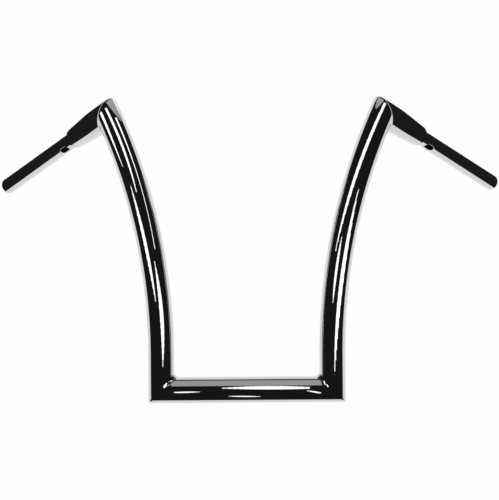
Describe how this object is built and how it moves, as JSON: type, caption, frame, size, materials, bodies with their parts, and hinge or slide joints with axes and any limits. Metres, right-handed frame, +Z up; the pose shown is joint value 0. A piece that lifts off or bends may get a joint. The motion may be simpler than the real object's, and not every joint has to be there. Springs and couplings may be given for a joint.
{
  "type": "motorcycle handlebar",
  "caption": "Tall welded chrome ape-hanger handlebar: straight crossbar, outward-bending uprights, mitred and tapered shoulders, slimmer swept-back grip tubes with wiring slots.",
  "frame": {"origin": "middle of the crossbar's axis, where the risers clamp", "axes": "+X along the crossbar to the bar's one side, +Y back towards the rider, the way the grips sweep, +Z up along the uprights"},
  "size_m": [0.7304, 0.3016, 0.4467],
  "materials": {
    "polished_tube": "mirror-polished chrome plate on steel tube",
    "polished_weld": "ground flush and mirror-plated weld"
  },
  "bodies": {
    "root": {"crossbar_tube": "polished_tube", "right_upright_tube": "polished_tube", "right_shoulder": "polished_tube", "right_grip_tube": "polished_tube", "right_lower_weld": "polished_weld", "right_upper_weld": "polished_weld", "right_grip_weld": "polished_weld", "left_upright_tube": "polished_tube", "left_shoulder": "polished_tube", "left_grip_tube": "polished_tube", "left_lower_weld": "polished_weld", "left_upper_weld": "polished_weld", "left_grip_weld": "polished_weld"}
  },
  "joints": []
}
